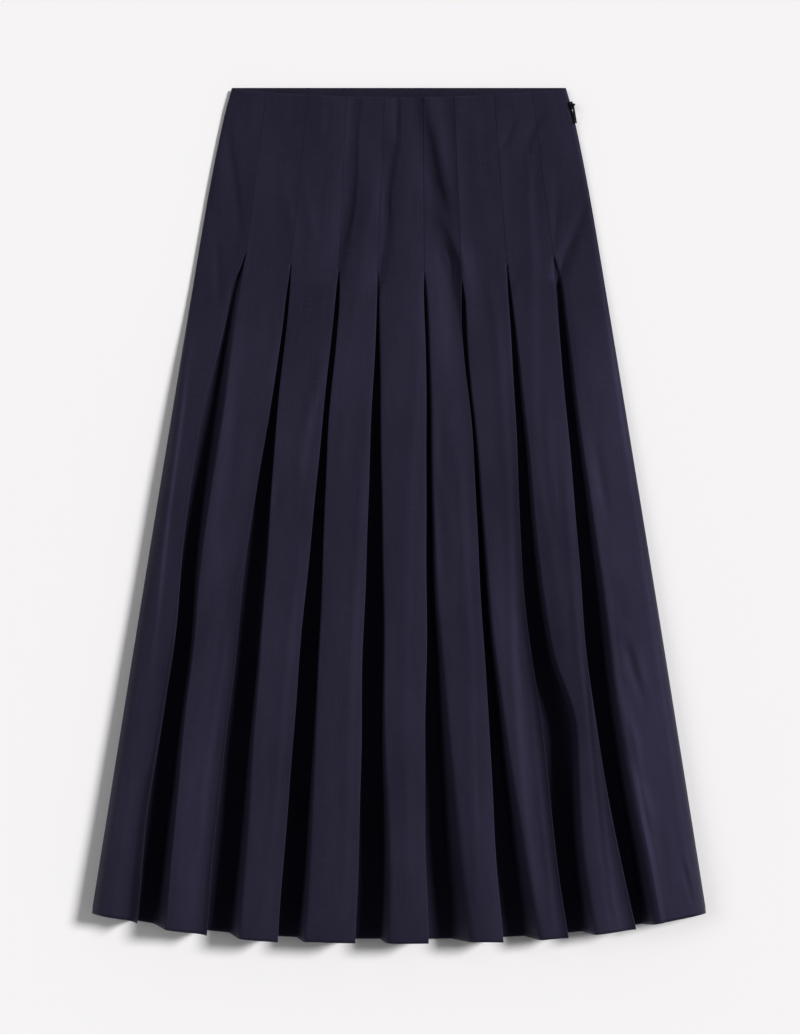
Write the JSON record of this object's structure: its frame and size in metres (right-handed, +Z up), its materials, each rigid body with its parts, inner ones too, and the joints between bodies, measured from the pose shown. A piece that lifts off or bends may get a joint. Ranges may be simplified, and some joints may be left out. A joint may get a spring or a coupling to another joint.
{
  "type": "midi skirt",
  "caption": "A-line midi skirt in crisp navy cloth, laid flat, with inverted pleats stitched down to the hip and open to the hem.",
  "frame": {"origin": "on the surface that the skirt lies on, under the middle of its bounding box", "axes": "+X to the right of the front as it is seen, +Y from the hem to the waist, +Z up off the surface, out of the front"},
  "size_m": [0.633, 0.877, 0.0395],
  "materials": {
    "navy_cloth": "crisp plain weave with a soft sheen",
    "facing_cloth": "matt plain weave",
    "black_metal": "satin black enamel"
  },
  "bodies": {
    "skirt": {"front": "navy_cloth", "back": "navy_cloth", "back_facing": "facing_cloth", "zip_slider": "black_metal"},
    "pull": {"zip_pull": "black_metal"}
  },
  "joints": [
    {"name": "pull_swing", "type": "hinge", "parent": "skirt", "child": "pull", "pos_m": [0.17914, 0.42011, 0.0068], "axis": [-0.7445, -0.1804, 0.6428], "range_deg": [0, 160]}
  ]
}
